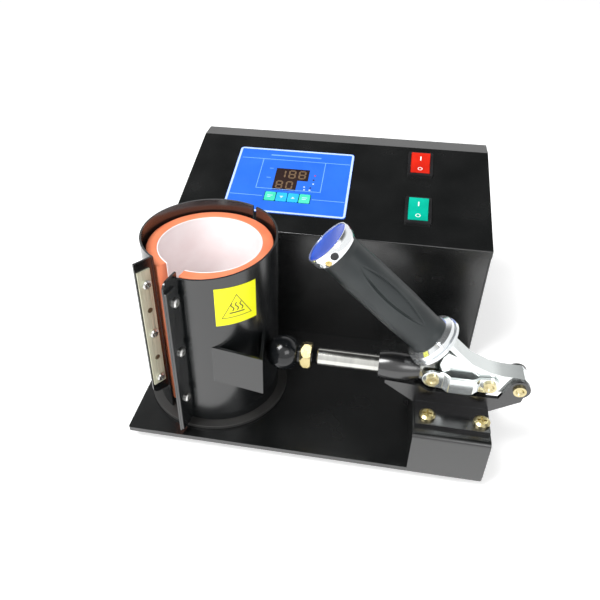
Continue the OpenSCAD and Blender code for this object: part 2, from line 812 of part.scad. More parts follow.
module plunger_rod() {
    color([0.8, 0.8, 0.8]) place() difference() {
        union() {
            translate([rod_x0, clamp_y, axis_z]) rotate([0, 90, 0]) cylinder(h = 0.8, r1 = rod_r - 0.8, r2 = rod_r);
            rod_x(rod_x0 + 0.8, barrel_x1 + 0.3 - rod_x0, rod_r);
            translate([barrel_x1 + 0.2, clamp_y - tail_half, axis_z - rod_r])
                cube([pivot_a - barrel_x1 - 0.2, 2 * tail_half, 2 * rod_r]);
            pin_y(pivot_a, clamp_z, -tail_half, tail_half, rod_r);
        }
        pin_y(pivot_a, clamp_z, -20, 20, press_r);
        rod_x(rod_x0 - 1, 38, 6.05);
        both_sides() translate([tail_x0, clamp_y - rod_r - 1, axis_z - rod_r - 1])
            cube([barrel_x1 + 5 - tail_x0, rod_r + 1 - tail_half, 2 * rod_r + 2]);
    }
}

nut_x0 = 137.8;
nut_t = 10;

module ball_tip() {
    color([0.05, 0.05, 0.05]) place() {
        translate([ball_x, clamp_y, axis_z]) rotate([0, 0, 180]) sphere(r = ball_r, $fn = 96);
        rod_x(ball_x + 8, nut_x0 - ball_x - 8, 7.6);
    }
    color([0.7, 0.7, 0.68]) place() {
        rod_x(nut_x0 - 1, nut_t + 1, 6);
        translate([nut_x0 + nut_t, clamp_y, axis_z]) rotate([0, 90, 0]) rotate_extrude() polygon(concat(
            [[0, 0]],
            [for (i = [0:4]) each [[5.4, i * 0.74], [6, i * 0.74 + 0.37]]],
            [[0, 3.7]]
        ));
        rod_x(nut_x0 + nut_t + 3.3, 26, 6);
    }
}

module lock_nut() {
    color([0.88, 0.77, 0.52]) place() translate([nut_x0, clamp_y, axis_z]) rotate([0, 90, 0]) hex_nut(19, nut_t, 6);
}

link_in = 8;
link_t = 2.5;
link_step = 3.5;
// Upper edge of the bowed middle, above the pivots
lobe_top = 6;

// Top view of one link plate: its two ends lie closer in than its bowed middle
module link_band() {
    x0 = pivot_a - 9;
    x1 = pivot_b + 9;
    a = [8.5, 13];
    polygon([
        [x0, 0], [pivot_a + a[0], 0], [pivot_a + a[1], link_step], [pivot_b - a[1], link_step],
        [pivot_b - a[0], 0], [x1, 0], [x1, link_t], [pivot_b - a[0] + 0.6, link_t],
        [pivot_b - a[1] + 0.6, link_step + link_t], [pivot_a + a[1] - 0.6, link_step + link_t],
        [pivot_a + a[0] - 0.6, link_t], [x0, link_t]
    ]);
}

module link_side() {
    difference() {
        union() {
            translate([pivot_a, clamp_z]) circle(7.8);
            translate([pivot_b, clamp_z]) circle(7.2);
            polygon([
                [pivot_a, clamp_z - 7.8], [pivot_a + 12, clamp_z - 8.5], [pivot_b - 15, clamp_z - 8.5],
                [pivot_b - 10, clamp_z - 7], [pivot_b, clamp_z - 7.2], [pivot_b, clamp_z + 7.2],
                [pivot_b - 10, clamp_z + lobe_top], [pivot_a + 12, clamp_z + lobe_top], [pivot_a, clamp_z + 7.8]
            ]);
        }
        translate([pivot_a, clamp_z]) circle(press_r);
        translate([pivot_b, clamp_z]) circle(press_r);
    }
}

module link_plates() {
    color([0.88, 0.88, 0.9]) place() both_sides() intersection() {
        translate([0, 0, top_z]) side_plate(clamp_y - 20, 20) link_side();
        translate([0, clamp_y - link_in, top_z]) mirror([0, 1, 0]) linear_extrude(100) link_band();
    }
}

module link_rivets() {
    color([0.85, 0.8, 0.7]) place() {
        pin_y(pivot_b, clamp_z, -link_in - link_t, link_in + link_t, press_r);
        rivet_head(pivot_b, link_in + link_t, 1.8);
        both_sides() pin_y(pivot_a, clamp_z, -link_in - link_t, -link_in, press_r);
        rivet_head(pivot_a, link_in + link_t, 1.8);
    }
}

// ---- Handle ----

// The handle's own frame: x runs from the end disc to the bracket, z is square to it
end_x = 154.1;
end_z = 171.5;
module on_handle() translate([end_x, clamp_y, top_z + end_z]) rotate([0, handle_tilt, 0]) children();

module along(t0, t1, r0, r1) translate([t0, 0, 0]) rotate([0, 90, 0]) cylinder(h = t1 - t0, r1 = r0, r2 = r1);

function on_axis(t, n) = [end_x + t * cos(handle_tilt) + n * sin(handle_tilt),
    end_z - t * sin(handle_tilt) + n * cos(handle_tilt)];

bracket_half = 7.6;
bracket_t = 2.1;
web_n = 11.3;
// Where the cheeks' free edge starts along the handle, beyond the collar
cheek_t = 127;

// Outline of the bracket's top web, seen from the side, with its face lowered by d
function web_line(d) = [
    on_axis(handle_len, web_n - d), on_axis(handle_len + 27, web_n - d),
    [pivot_b - 2 - d * 0.3, clamp_z + 11.4 - d], [pivot_b + 8, clamp_z + 9.4 - d], [pivot_c + 2.5, clamp_z + 9 - d]
];

module bracket_side() {
    polygon(concat(web_line(0), [
        [pivot_c + 7.8, clamp_z + 2], [pivot_c, clamp_z - 8], [pivot_c - 8, clamp_z - 6.2], [pivot_b + 5, clamp_z - 7],
        [pivot_b - 7, clamp_z - 5], [pivot_b - 18, clamp_z - 1], [pivot_a + 14, clamp_z - 1], [pivot_a + 8, clamp_z + 4],
        on_axis(cheek_t + 4, -7.5), on_axis(cheek_t, -1), on_axis(cheek_t - 1, 4.5), on_axis(cheek_t + 2, web_n - 5.5),
        on_axis(cheek_t + 6, web_n - 4), on_axis(handle_len, web_n - 4)
    ]));
    translate([pivot_b, clamp_z]) circle(8);
    translate([pivot_c, clamp_z]) circle(8);
}

module bracket_web() {
    top = web_line(0);
    low = web_line(bracket_t);
    polygon(concat(top, [for (i = [len(low) - 1:-1:0]) low[i]]));
}

module handle_bracket() {
    color([0.9, 0.9, 0.92]) place() difference() {
        union() {
            translate([0, 0, top_z]) side_plate(clamp_y - bracket_half, 2 * bracket_half) bracket_web();
            both_sides() translate([0, 0, top_z]) side_plate(clamp_y - bracket_half, bracket_t) bracket_side();
            on_handle() translate([handle_len, -bracket_half, -9]) cube([2.5, 2 * bracket_half, 9 + web_n - 0.5]);
        }
        pin_y(pivot_b, clamp_z, -20, 20, press_r + run_clear);
        pin_y(pivot_c, clamp_z, -20, 20, press_r + run_clear);
        on_handle() along(handle_len - 5, handle_len + 5, 5.5, 5.5);
    }
}

module handle_rod() {
    color([0.6, 0.6, 0.6]) place() on_handle() {
        along(3, handle_len + 2.5, 5.5, 5.5);
        along(handle_len + 2.5, handle_len + 4, 7, 5.5);
    }
}

grip_t0 = 10;
grip_t1 = 108;

// Grip radius along the handle: a shallow crown with a waist at each end
function grip_at(u) = grip_r * (0.93 + 0.07 * sin(180 * u));

module rubber_grip() {
    steps = 10;
    span = grip_t1 - grip_t0;
    color([0.17, 0.19, 0.2]) place() on_handle() translate([grip_t0, 0, 0]) rotate([0, 90, 0]) rotate_extrude()
        polygon(concat([[5.6, 0]], [for (i = [0:steps]) [grip_at(i / steps), span * i / steps]], [[5.6, span]]));
}

disc_seat_r = 17.2;

// Chrome end cap with its blue disc and grub screw, and the chrome collar at the other end
module grip_fittings() {
    color([0.9, 0.9, 0.92]) place() on_handle() {
        difference() {
            union() {
                along(0, 2, 17.9, 18.6);
                along(2, 6.5, 18.6, 18.2);
                along(6.5, 10, 18.2, 16.6);
            }
            along(-1, 1.2, disc_seat_r, disc_seat_r);
            along(3, 12, 5.5, 5.5);
            rotate([115, 0, 0]) translate([6.6, 0, 10]) cylinder(h = 12, r = 2);
        }
        difference() {
            union() {
                along(108, 110, 16.8, 20.4);
                along(110, 113, 20.4, 20.4);
                along(113, 114, 19.4, 19.4);
                along(114, 116.5, 21.6, 21.6);
                along(116.5, handle_len, 21.6, 19.8);
            }
            along(107, 119, 5.5, 5.5);
        }
    }
    color([0.12, 0.3, 0.85]) place() on_handle() along(0.2, 1.2, disc_seat_r - 0.4, disc_seat_r);
    color([0.8, 0.65, 0.3]) place() on_handle() rotate([115, 0, 0]) translate([6.6, 0, 12]) cylinder(h = 5.8, r = 2);
}

base_plate();
rubber_feet();
foot_screws();
base_screws();
case_front();
case_rear();
case_left();
case_right();
top_panel();
panel_screws();
control_membrane();
display_module();
control_board();
board_standoffs();
temp_key();
time_key();
up_key();
down_key();
red_switch();
red_rocker();
green_switch();
green_rocker();
transformer_core();
transformer_coil();
relay();
terminal_block();
power_inlet();
fuse_holder();
lead_grommet();
insulating_disc();
rear_shell();
shell_tabs();
rear_strip();
rear_strip_screws();
mat_rear();
liner_rear();
fixed_leaf();
hinge_pin();
front_shell();
front_strip();
front_strip_screws();
mat_front();
liner_front();
wedge_bracket();
heat_label();
moving_leaf();
clamp_post();
clamp_base();
guide_barrel();
clamp_screws();
pivot_pin();
plunger_rod();
ball_tip();
lock_nut();
link_plates();
link_rivets();
handle_bracket();
handle_rod();
rubber_grip();
grip_fittings();
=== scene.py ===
"""The mug heat press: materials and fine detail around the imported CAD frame."""
import json
import math

import bmesh
import bpy
from mathutils import Matrix, Vector


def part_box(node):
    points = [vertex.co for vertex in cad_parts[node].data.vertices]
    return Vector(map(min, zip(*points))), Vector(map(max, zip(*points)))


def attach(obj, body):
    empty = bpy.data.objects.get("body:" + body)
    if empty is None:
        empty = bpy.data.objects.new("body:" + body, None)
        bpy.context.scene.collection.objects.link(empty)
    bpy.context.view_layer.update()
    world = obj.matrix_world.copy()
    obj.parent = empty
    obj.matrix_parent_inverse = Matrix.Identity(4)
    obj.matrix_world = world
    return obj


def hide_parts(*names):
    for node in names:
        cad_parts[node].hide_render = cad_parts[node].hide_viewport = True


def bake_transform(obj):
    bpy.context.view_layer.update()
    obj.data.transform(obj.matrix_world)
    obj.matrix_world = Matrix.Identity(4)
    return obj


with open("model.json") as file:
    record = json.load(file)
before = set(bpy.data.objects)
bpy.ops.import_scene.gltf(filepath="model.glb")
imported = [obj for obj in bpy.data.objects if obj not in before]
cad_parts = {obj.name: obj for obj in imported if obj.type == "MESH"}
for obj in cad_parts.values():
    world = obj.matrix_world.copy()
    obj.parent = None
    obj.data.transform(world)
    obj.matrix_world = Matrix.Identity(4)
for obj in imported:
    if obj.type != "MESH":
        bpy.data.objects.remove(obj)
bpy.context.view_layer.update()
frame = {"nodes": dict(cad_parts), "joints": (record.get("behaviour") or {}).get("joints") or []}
NODES = frame["nodes"]
JOINTS = {j["name"]: j for j in frame["joints"]}
MM = 0.001

# ---------------------------------------------------------------- places

BASE_LO, BASE_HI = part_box("base_plate")


def at(x, y, z):
    """A point measured in mm from the front left corner of the base plate's top."""
    return Vector((BASE_LO.x + x * MM, BASE_LO.y + y * MM, BASE_HI.z + z * MM))


def centre(node):
    low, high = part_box(node)
    return (low + high) / 2


HEATER = centre("insulating_disc")
MAT_LO, MAT_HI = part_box("mat_rear")
# Radii about the heater's axis
SHELL_R = 53.0 * MM
MAT_OUT = 49.4 * MM
LINER_OUT = 41.0 * MM
LINER_IN = 40.0 * MM
# Directions from the heater's axis, in degrees from +X towards +Y
MAT_START = -101.5
MAT_END = 233.5
STRIP_AZ = 234.0

PRESS = JOINTS["temp_key_press"]["axis"]  # square to the sloped panel
SLOPE = math.atan2(PRESS[1], -PRESS[2])
FILM = 0.8  # thickness of the blue membrane
PRINT = 0.06  # thickness of printed marks


def frame_from(origin, x_axis, z_axis):
    """A local frame: its X along x_axis, its Z along z_axis."""
    x = Vector(x_axis).normalized()
    z = Vector(z_axis).normalized()
    y = z.cross(x)
    turn = Matrix((x, y, z)).transposed().to_4x4()
    return Matrix.Translation(origin) @ turn


MEMBRANE_LO, MEMBRANE_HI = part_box("control_membrane")
PANEL_N = Vector((0, -math.sin(SLOPE), math.cos(SLOPE)))
PANEL_CORNER = Vector((MEMBRANE_LO.x, MEMBRANE_LO.y + FILM * MM * math.sin(SLOPE), MEMBRANE_LO.z))
PANEL = frame_from(PANEL_CORNER, (1, 0, 0), PANEL_N)
PANEL_W = (MEMBRANE_HI.x - MEMBRANE_LO.x) / MM
PANEL_D = (MEMBRANE_HI.z - MEMBRANE_LO.z - FILM * MM * math.cos(SLOPE)) / MM / math.sin(SLOPE)

GRIP_LO, GRIP_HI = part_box("rubber_grip")
TILT = math.radians(42.7)  # the handle's slope at rest
GRIP_DIR = Vector((math.cos(TILT), 0, -math.sin(TILT)))
GRIP_T0, GRIP_T1 = 10.0, 108.0  # ends of the rubber, in mm from the handle's outer end
GRIP_MID = (GRIP_LO + GRIP_HI) / 2
HANDLE = frame_from(GRIP_MID - GRIP_DIR * (GRIP_T0 + GRIP_T1) / 2 * MM, GRIP_DIR, (0, -1, 0))

# ---------------------------------------------------------------- materials


# Lighter colour on painted edges: partly worn paint, partly a painted highlight
WEAR_AND_GLINT_PAINT = (0.035, 0.038, 0.04)
EDGE_STARTS, EDGE_FULL = 0.985, 0.9  # cosines between the bevelled and the flat normal
EDGE_WIDTH = 0.7
COAT_ROUGH = 0.1
RANGE = ("From Min", "From Max", "To Min", "To Max")


def set_range(node, *numbers):
    for key, number in zip(RANGE, numbers):
        node.inputs[key].default_value = number


class Paint:
    """A Principled material and the procedural nodes that feed it."""

    def __init__(self, name, metallic=0.0, coat=0.0, ior=1.5, emission=None, glow=0.0):
        self.mat = bpy.data.materials.new(name)
        self.mat.use_nodes = True
        self.tree = self.mat.node_tree
        self.shader = self.tree.nodes["Principled BSDF"]
        self.shader.inputs["Metallic"].default_value = metallic
        self.shader.inputs["Coat Weight"].default_value = coat
        self.shader.inputs["Coat Roughness"].default_value = COAT_ROUGH
        self.shader.inputs["IOR"].default_value = ior
        if emission:
            self.shader.inputs["Emission Color"].default_value = (*emission, 1)
            self.shader.inputs["Emission Strength"].default_value = glow
        self.where = self.node("ShaderNodeTexCoord").outputs["Object"]

    def node(self, kind, **settings):
        made = self.tree.nodes.new(kind)
        for key, value in settings.items():
            setattr(made, key, value)
        return made

    def join(self, out, into):
        self.tree.links.new(out, into)

    def noise(self, scale, detail=3.0, stretch=None):
        made = self.node("ShaderNodeTexNoise")
        made.inputs["Scale"].default_value = scale
        made.inputs["Detail"].default_value = detail
        source = self.where
        if stretch:
            place = self.node("ShaderNodeMapping")
            place.inputs["Scale"].default_value = stretch
            self.join(source, place.inputs["Vector"])
            source = place.outputs["Vector"]
        self.join(source, made.inputs["Vector"])
        return made.outputs["Fac"]

    def spread(self, value, low, high, to_low, to_high):
        made = self.node("ShaderNodeMapRange")
        set_range(made, low, high, to_low, to_high)
        self.join(value, made.inputs["Value"])
        return made.outputs["Result"]

    def blend(self, factor, a, b):
        made = self.node("ShaderNodeMix", data_type="RGBA")
        self.join(factor, made.inputs["Factor"])
        for socket, colour in ((made.inputs["A"], a), (made.inputs["B"], b)):
            if hasattr(colour, "is_linked"):
                self.join(colour, socket)
            else:
                socket.default_value = (*colour, 1)
        return made.outputs["Result"]

    def tint(self, a, b, scale, detail=3.0, stretch=None):
        """Two colours that cross in soft patches."""
        factor = self.spread(self.noise(scale, detail, stretch), 0.35, 0.65, 0, 1)
        colour = self.blend(factor, a, b)
        self.join(colour, self.shader.inputs["Base Color"])
        return colour

    def gloss(self, low, high, scale, detail=2.0, stretch=None):
        """Roughness that wanders between two values."""
        value = self.spread(self.noise(scale, detail, stretch), 0.3, 0.7, low, high)
        self.join(value, self.shader.inputs["Roughness"])

    def bump(self, height, depth, strength=1.0):
        made = self.node("ShaderNodeBump")
        made.inputs["Strength"].default_value = strength
        made.inputs["Distance"].default_value = depth * MM
        self.join(height, made.inputs["Height"])
        self.join(made.outputs["Normal"], self.shader.inputs["Normal"])

    def edges(self, colour, wear_and_glint, radius, low, high):
        """Lighter paint where a bevelled normal leaves the flat one, along edges and corners: partly worn
        paint, partly a painted highlight.
        """
        soft = self.node("ShaderNodeBevel", samples=4)
        soft.inputs["Radius"].default_value = radius * MM
        flat = self.node("ShaderNodeNewGeometry")
        dot = self.node("ShaderNodeVectorMath", operation="DOT_PRODUCT")
        self.join(soft.outputs["Normal"], dot.inputs[0])
        self.join(flat.outputs["Normal"], dot.inputs[1])
        edge = self.spread(dot.outputs["Value"], EDGE_STARTS, EDGE_FULL, 0, 1)
        patches = self.spread(self.noise(90, 4), low, high, 0, 1)
        both = self.node("ShaderNodeMath", operation="MULTIPLY")
        self.join(edge, both.inputs[0])
        self.join(patches, both.inputs[1])
        self.join(self.blend(both.outputs["Value"], colour, wear_and_glint), self.shader.inputs["Base Color"])


def powder_coat(name, dark, light, low, high, grain=900, depth=0.03, ior=1.85):
    """Glossy black paint: faint patches, fine grain, edges a little lighter, partly worn and partly a painted
    highlight.
    """
    paint = Paint(name, ior=ior)
    colour = paint.tint(dark, light, 14)
    paint.edges(colour, WEAR_AND_GLINT_PAINT, EDGE_WIDTH, 0.42, 0.62)
    paint.gloss(low, high, 30)
    paint.bump(paint.noise(grain, 2), depth, 0.5)
    return paint.mat


def metal(name, dark, light, low, high, stretch=(1, 1, 1), scale=60, depth=0.004, part=1.0):
    """Bare or plated metal; part is how much of the light it returns as a mirror does."""
    paint = Paint(name, metallic=part)
    paint.tint(dark, light, scale, 3, stretch)
    paint.gloss(low, high, scale * 1.5, 3, stretch)
    paint.bump(paint.noise(scale * 6, 3, stretch), depth, 0.4)
    return paint.mat


def moulded(name, dark, light, low, high, grain=1200, depth=0.01, coat=0.0, emission=None, glow=0.0):
    """Plastic, rubber, film or print: two close shades, a varied gloss and a fine grain."""
    paint = Paint(name, coat=coat, emission=emission, glow=glow)
    paint.tint(dark, light, 40)
    paint.gloss(low, high, 60)
    paint.bump(paint.noise(grain, 2), depth, 0.5)
    return paint.mat


BLACK = powder_coat("powder_coat_black", (0.0035, 0.004, 0.004), (0.006, 0.0065, 0.0065), 0.2, 0.28)
SHELL_BLACK = powder_coat(
    "shell_coat_black", (0.0035, 0.004, 0.0045), (0.006, 0.007, 0.0075), 0.18, 0.25, depth=0.012, ior=1.75
)
ENAMEL = powder_coat("enamel_black", (0.003, 0.003, 0.0035), (0.005, 0.005, 0.0055), 0.2, 0.28, 700, 0.02)
RUBBER = moulded("rubber_black", (0.018, 0.018, 0.018), (0.030, 0.030, 0.030), 0.65, 0.8, 900, 0.05)
GRIP = moulded("grip_rubber", (0.010, 0.014, 0.015), (0.017, 0.022, 0.023), 0.38, 0.48, 1500, 0.02)
ZINC = metal("zinc_plate", (0.55, 0.55, 0.53), (0.72, 0.72, 0.70), 0.22, 0.36)
YELLOW_ZINC = metal("yellow_zinc", (0.52, 0.44, 0.22), (0.70, 0.62, 0.38), 0.2, 0.34)
NUT_ZINC = metal("nut_zinc", (0.46, 0.37, 0.16), (0.62, 0.53, 0.28), 0.2, 0.32)
ROD = metal("turned_steel", (0.58, 0.58, 0.55), (0.66, 0.66, 0.62), 0.16, 0.22, (12, 1, 1), 20, 0.002)
STAINLESS = metal(
    "stainless_brushed", (0.62, 0.62, 0.46), (0.74, 0.74, 0.58), 0.38, 0.5, (30, 30, 1), 30, 0.004, part=0.45
)
CHROME = metal("chrome", (0.84, 0.87, 0.89), (0.92, 0.94, 0.95), 0.07, 0.12, scale=25, depth=0.002, part=0.9)
SATIN_CHROME = metal(
    "satin_chrome", (0.70, 0.74, 0.74), (0.80, 0.84, 0.83), 0.08, 0.14, scale=25, depth=0.003, part=0.9
)
BRASS = metal("brass", (0.60, 0.45, 0.16), (0.78, 0.62, 0.28), 0.2, 0.35)
BALL = moulded("ball_phenolic", (0.003, 0.0035, 0.004), (0.006, 0.007, 0.008), 0.12, 0.18, 300, 0.004)
BLUE_FILM = moulded("film_blue", (0.018, 0.135, 0.72), (0.024, 0.155, 0.80), 0.32, 0.40, 1500, 0.004)
PALE_FILM = moulded("film_pale", (0.48, 0.62, 0.90), (0.56, 0.70, 0.96), 0.32, 0.4, 1500, 0.004)
FAINT_FILM = moulded("film_faint", (0.16, 0.38, 0.95), (0.20, 0.44, 1.0), 0.32, 0.4, 1500, 0.004)
KEY_GREEN = moulded("key_green", (0.05, 0.62, 0.42), (0.09, 0.74, 0.50), 0.3, 0.4, 1500, 0.004)
KEY_CYAN = moulded("key_cyan", (0.02, 0.42, 0.92), (0.03, 0.50, 1.0), 0.3, 0.4, 1500, 0.004)
WINDOW = moulded("display_window", (0.020, 0.012, 0.012), (0.034, 0.020, 0.018), 0.12, 0.2, 300, 0.002)
DIGITS = moulded(
    "digit_segments", (0.12, 0.075, 0.04), (0.16, 0.10, 0.055), 0.4, 0.5, emission=(0.8, 0.5, 0.28), glow=0.02
)
LAMP_RED = moulded("lamp_red", (0.35, 0.03, 0.10), (0.5, 0.05, 0.12), 0.2, 0.3)
SWITCH = moulded("switch_black", (0.010, 0.010, 0.011), (0.018, 0.018, 0.019), 0.25, 0.35)
RED = moulded(
    "rocker_red", (0.46, 0.012, 0.005), (0.62, 0.022, 0.009), 0.16, 0.24, 300, 0.003,
    coat=0.2, emission=(1.0, 0.03, 0.01), glow=0.08,
)
GREEN = moulded(
    "rocker_green", (0.0, 0.30, 0.20), (0.002, 0.44, 0.31), 0.16, 0.24, 300, 0.003,
    coat=0.2, emission=(0.0, 0.6, 0.4), glow=0.06,
)
WHITE_MARK = moulded("white_mark", (0.78, 0.80, 0.78), (0.88, 0.90, 0.88), 0.4, 0.5)
BOARD = moulded("board_green", (0.01, 0.09, 0.03), (0.02, 0.14, 0.05), 0.3, 0.4)
IRON = metal("core_steel", (0.16, 0.16, 0.17), (0.26, 0.26, 0.27), 0.4, 0.55, (1, 1, 40), 20)
AMBER = moulded("coil_tape", (0.36, 0.20, 0.03), (0.50, 0.30, 0.06), 0.35, 0.5)
RELAY = moulded("relay_blue", (0.03, 0.06, 0.26), (0.04, 0.09, 0.34), 0.3, 0.4)
PALE = moulded("terminal_pale", (0.60, 0.60, 0.55), (0.70, 0.70, 0.64), 0.4, 0.5)
FIBRE = moulded("fibre_board", (0.018, 0.018, 0.017), (0.030, 0.029, 0.028), 0.5, 0.65, 400, 0.08)
SILICONE = moulded("silicone_orange", (0.80, 0.205, 0.090), (0.90, 0.265, 0.125), 0.5, 0.62, 700, 0.03)
LINER = moulded("liner_white", (0.90, 0.80, 0.80), (0.95, 0.88, 0.88), 0.65, 0.8, 500, 0.04)
YELLOW = moulded("label_yellow", (0.84, 0.84, 0.0), (0.93, 0.92, 0.002), 0.36, 0.46, 800, 0.004)
INK = moulded("label_ink", (0.09, 0.09, 0.01), (0.13, 0.12, 0.012), 0.4, 0.5)
DISC_BLUE = moulded("disc_blue", (0.010, 0.055, 0.42), (0.020, 0.085, 0.58), 0.16, 0.26, 300, 0.003, 0.5)
# Weld spots on the stainless strip: their dark colour is painted shade, as of recesses
WELD_SPOT_SHADE = metal("weld_spots", (0.20, 0.17, 0.10), (0.34, 0.30, 0.20), 0.4, 0.5)

COATS = {
    BLACK: (
        "base_plate", "case_front", "case_rear", "case_left", "case_right", "top_panel", "clamp_post"
    ),
    SHELL_BLACK: ("rear_shell", "front_shell", "front_strip", "wedge_bracket", "fixed_leaf", "moving_leaf"),
    ENAMEL: ("clamp_base", "guide_barrel"),
    RUBBER: ("rubber_feet", "lead_grommet"),
    GRIP: ("rubber_grip",),
    ZINC: (
        "foot_screws", "base_screws", "panel_screws", "shell_tabs", "rear_strip_screws", "front_strip_screws"
    ),
    YELLOW_ZINC: ("clamp_screws", "pivot_pin", "link_rivets"),
    NUT_ZINC: ("lock_nut",),
    ROD: ("plunger_rod", "handle_rod", "hinge_pin"),
    STAINLESS: ("rear_strip",),
    CHROME: ("grip_fittings",),
    SATIN_CHROME: ("link_plates", "handle_bracket"),
    BRASS: ("board_standoffs",),
    BALL: ("ball_tip",),
    BLUE_FILM: ("control_membrane",),
    WINDOW: ("display_module",),
    KEY_GREEN: ("temp_key", "down_key"),
    KEY_CYAN: ("time_key", "up_key"),
    BOARD: ("control_board",),
    RED: ("red_rocker",),
    GREEN: ("green_rocker",),
    IRON: ("transformer_core",),
    AMBER: ("transformer_coil",),
    RELAY: ("relay",),
    PALE: ("terminal_block",),
    SWITCH: ("red_switch", "green_switch", "power_inlet", "fuse_holder"),
    FIBRE: ("insulating_disc",),
    SILICONE: ("mat_rear", "mat_front"),
    LINER: ("liner_rear", "liner_front"),
    YELLOW: ("heat_label",),
}
for coat, names in COATS.items():
    for name in names:
        NODES[name].data.materials.clear()
        NODES[name].data.materials.append(coat)

# Width of each node's rounded edges, in mm
BEVELS = {
    "base_plate": 0.8, "case_front": 0.3, "case_left": 0.3, "case_right": 0.3, "clamp_post": 0.8,
    "clamp_base": 0.6, "wedge_bracket": 0.5, "rear_strip": 0.25, "front_strip": 0.35,
    "link_plates": 0.6, "handle_bracket": 0.6, "lock_nut": 0.3, "red_switch": 0.4,
    "green_switch": 0.4, "red_rocker": 0.5, "green_rocker": 0.5, "temp_key": 0.25, "time_key": 0.25,
    "up_key": 0.25, "down_key": 0.25, "insulating_disc": 0.4, "grip_fittings": 0.4,
    "clamp_screws": 0.25, "rear_strip_screws": 0.2, "front_strip_screws": 0.2, "power_inlet": 0.4,
    "fuse_holder": 0.4, "relay": 0.6, "terminal_block": 0.4, "transformer_core": 0.3,
}


SMOOTH_BELOW = math.radians(28)
BEVEL_ABOVE = math.radians(32)
WELD = 0.002 * MM


def smooth_by_angle():
    """A node group that joins a CAD mesh's faces and shades it smooth except at its sharp edges."""
    group = bpy.data.node_groups.new("smooth_by_angle", "GeometryNodeTree")
    group.interface.new_socket("Geometry", in_out="INPUT", socket_type="NodeSocketGeometry")
    group.interface.new_socket("Geometry", in_out="OUTPUT", socket_type="NodeSocketGeometry")
    make = group.nodes.new
    start, end = make("NodeGroupInput"), make("NodeGroupOutput")
    drop = make("GeometryNodeRemoveAttribute")
    drop.inputs["Name"].default_value = "custom_normal"
    weld = make("GeometryNodeMergeByDistance")
    weld.inputs["Distance"].default_value = WELD
    faces = make("GeometryNodeSetShadeSmooth")
    edges = make("GeometryNodeSetShadeSmooth")
    edges.domain = "EDGE"
    angle = make("GeometryNodeInputMeshEdgeAngle")
    below = make("FunctionNodeCompare")
    below.data_type = "FLOAT"
    below.operation = "LESS_THAN"
    below.inputs["B"].default_value = SMOOTH_BELOW
    join = group.links.new
    join(start.outputs["Geometry"], drop.inputs["Geometry"])
    join(drop.outputs["Geometry"], weld.inputs["Geometry"])
    join(weld.outputs["Geometry"], faces.inputs["Geometry"])
    join(faces.outputs["Geometry"], edges.inputs["Geometry"])
    join(angle.outputs["Unsigned Angle"], below.inputs["A"])
    join(below.outputs["Result"], edges.inputs["Shade Smooth"])
    join(edges.outputs["Geometry"], end.inputs["Geometry"])
    return group


SMOOTH = smooth_by_angle()


def soften(obj, width):
    """Small rounded edges that catch the light, on top of an unchanged mesh."""
    obj.modifiers.new("smooth", "NODES").node_group = SMOOTH
    if width:
        edge = obj.modifiers.new("edge", "BEVEL")
        edge.width = width * MM
        edge.segments = 2
        edge.limit_method = "ANGLE"
        edge.angle_limit = BEVEL_ABOVE
        edge.harden_normals = True


# These punched sheets keep their own edges: welding their long thin triangles leaves lines on the flats
AS_MADE = ("case_rear", "top_panel")
for name, node in NODES.items():
    if name not in AS_MADE:
        soften(node, BEVELS.get(name, 0))

# ---------------------------------------------------------------- mesh tools


def piece(name, bm, material, body, smooth=True):
    """Finishes a mesh as an object that rides a body."""
    mesh = bpy.data.meshes.new(name)
    bmesh.ops.recalc_face_normals(bm, faces=bm.faces)
    bm.to_mesh(mesh)
    bm.free()
    mesh.materials.append(material)
    for face in mesh.polygons:
        face.use_smooth = smooth
    obj = bpy.data.objects.new(name, mesh)
    bpy.context.scene.collection.objects.link(obj)
    if body:
        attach(obj, body)
    return obj


def grid(bm, rows, closed_u=False, closed_v=False):
    """Joins rows of points into quads."""
    verts = [[bm.verts.new(p) for p in row] for row in rows]
    n_rows, n_cols = len(verts), len(verts[0])
    for i in range(n_rows if closed_u else n_rows - 1):
        for j in range(n_cols if closed_v else n_cols - 1):
            a, b = verts[i], verts[(i + 1) % n_rows]
            k = (j + 1) % n_cols
            bm.faces.new((a[j], a[k], b[k], b[j]))
    return verts


def slab(bm, outline, place, low, high):
    """A flat plate from an outline in mm, between two heights, mapped to space by place(x, y, h)."""
    bottom = [bm.verts.new(place(x, y, low)) for x, y in outline]
    top = [bm.verts.new(place(x, y, high)) for x, y in outline]
    bm.faces.new(top)
    bm.faces.new(list(reversed(bottom)))
    for i in range(len(outline)):
        k = (i + 1) % len(outline)
        bm.faces.new((bottom[i], bottom[k], top[k], top[i]))


MITRE_LIMIT = 0.4  # keeps a band's sharp corners from growing into spikes


def band(bm, line, width, place, low, high, closed=False):
    """A strip of constant width along a line of points in mm."""
    n = len(line)
    left, right = [], []
    for i, (x, y) in enumerate(line):
        before = line[(i - 1) % n] if closed or i else line[i]
        after = line[(i + 1) % n] if closed or i < n - 1 else line[i]
        a = Vector((x - before[0], y - before[1]))
        b = Vector((after[0] - x, after[1] - y))
        a = a.normalized() if a.length else b.normalized()
        b = b.normalized() if b.length else a
        along = (a + b).normalized()
        side = Vector((-along.y, along.x))
        reach = width / 2 / max(MITRE_LIMIT, side.dot(Vector((-a.y, a.x))))
        left.append((x + side.x * reach, y + side.y * reach))
        right.append((x - side.x * reach, y - side.y * reach))
    rows = [
        [place(*left[i], low), place(*left[i], high), place(*right[i], high), place(*right[i], low)]
        for i in range(n)
    ]
    verts = grid(bm, rows, closed_u=closed, closed_v=True)
    if not closed:
        bm.faces.new(verts[0])
        bm.faces.new(list(reversed(verts[-1])))


CORNER_STEPS = 6


